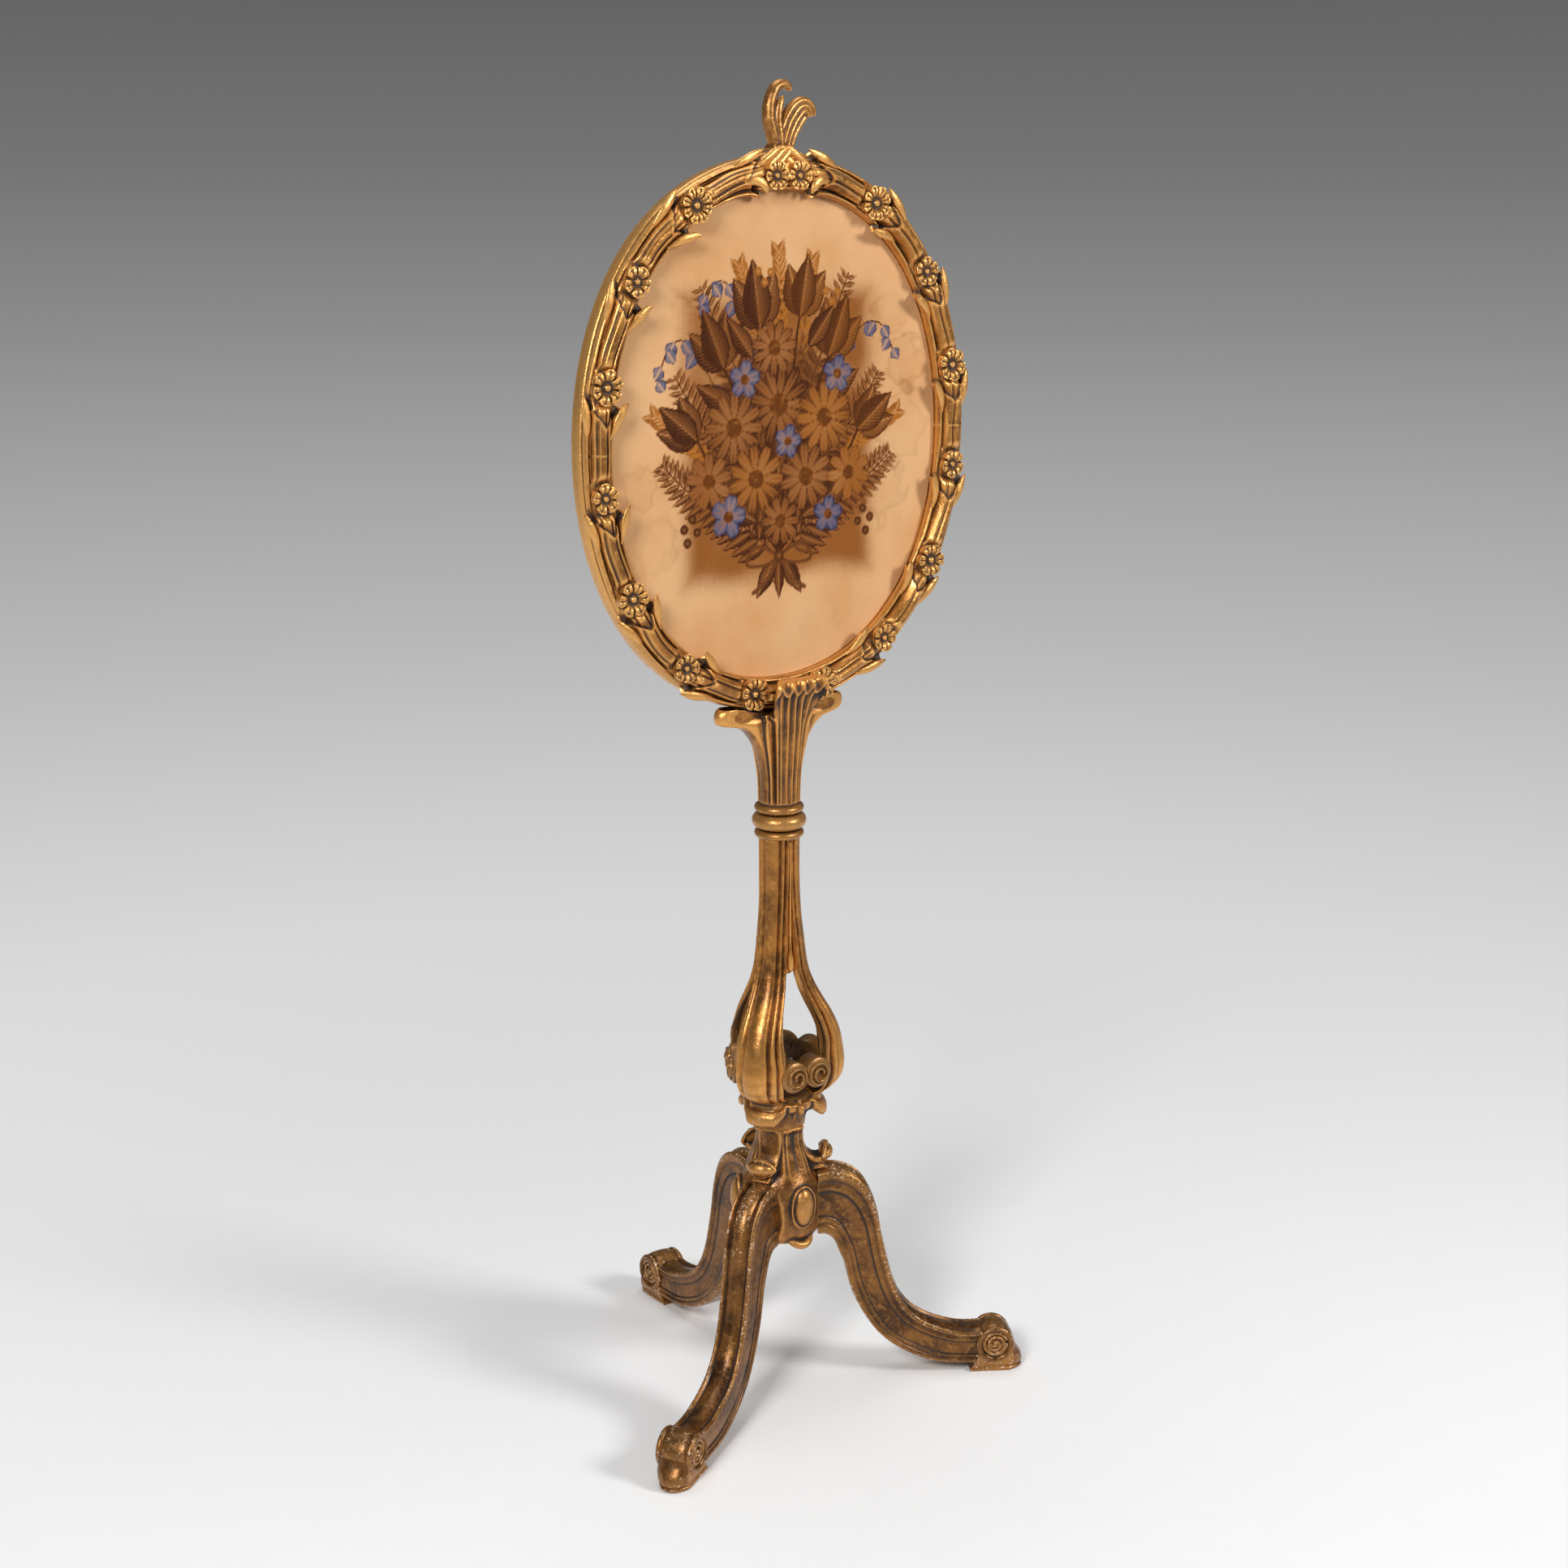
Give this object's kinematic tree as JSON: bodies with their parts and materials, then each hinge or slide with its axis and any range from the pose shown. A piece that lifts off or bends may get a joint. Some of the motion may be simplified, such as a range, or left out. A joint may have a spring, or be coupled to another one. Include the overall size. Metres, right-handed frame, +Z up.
{
  "type": "pole screen",
  "caption": "Giltwood pole screen: an oval painted cloth in a carved flower frame, turning on a reeded pole with an openwork bulb and a tripod of scroll feet.",
  "frame": {"origin": "on the floor under the axis of the pole", "axes": "+Z up along the pole; the screen faces -Y at rest, +X to the right of someone who looks at its face"},
  "size_m": [0.5058, 0.4436, 1.42],
  "materials": {
    "old_gilt": "worn gilding over dark ground, satin",
    "gilt": "aged gilding, satin",
    "bright_gilt": "aged gilding, satin",
    "bare_wood": "unfinished",
    "leather": "matt",
    "painted_cloth": "aged silk with paint, matt",
    "backboard": "unfinished",
    "iron": "dull"
  },
  "bodies": {
    "stand": {"base_hub": "old_gilt", "leg_rear": "old_gilt", "leg_left": "old_gilt", "leg_right": "old_gilt", "leg_dowels": "bare_wood", "hub_pendant": "old_gilt", "neck_dowel": "bare_wood", "shell_collar": "old_gilt", "stem_rear": "gilt", "stem_left": "gilt", "stem_right": "gilt", "stem_dowels": "bare_wood", "pole_core": "bare_wood", "ring_collar": "gilt"},
    "washer": {"leather_washer": "leather"},
    "screen": {"screen_peg": "bare_wood", "leaf_capital": "gilt", "capital_dowel": "bare_wood", "frame_lower_half": "bright_gilt", "frame_upper_half": "bright_gilt", "frame_dowels": "bare_wood", "frame_flowers": "bright_gilt", "crest_flowers": "bright_gilt", "finial": "bright_gilt", "finial_dowel": "bare_wood", "painted_cloth": "painted_cloth", "strainer": "bare_wood", "backboard": "backboard", "backboard_pins": "iron"}
  },
  "joints": [
    {"name": "screen_turn", "type": "hinge", "parent": "stand", "child": "washer", "pos_m": [0, 0, 0.676], "axis": [0, 0, 1], "continuous": true},
    {"name": "screen_lift", "type": "slide", "parent": "washer", "child": "screen", "axis": [0, 0, 1], "range_m": [0, 0.06]}
  ]
}
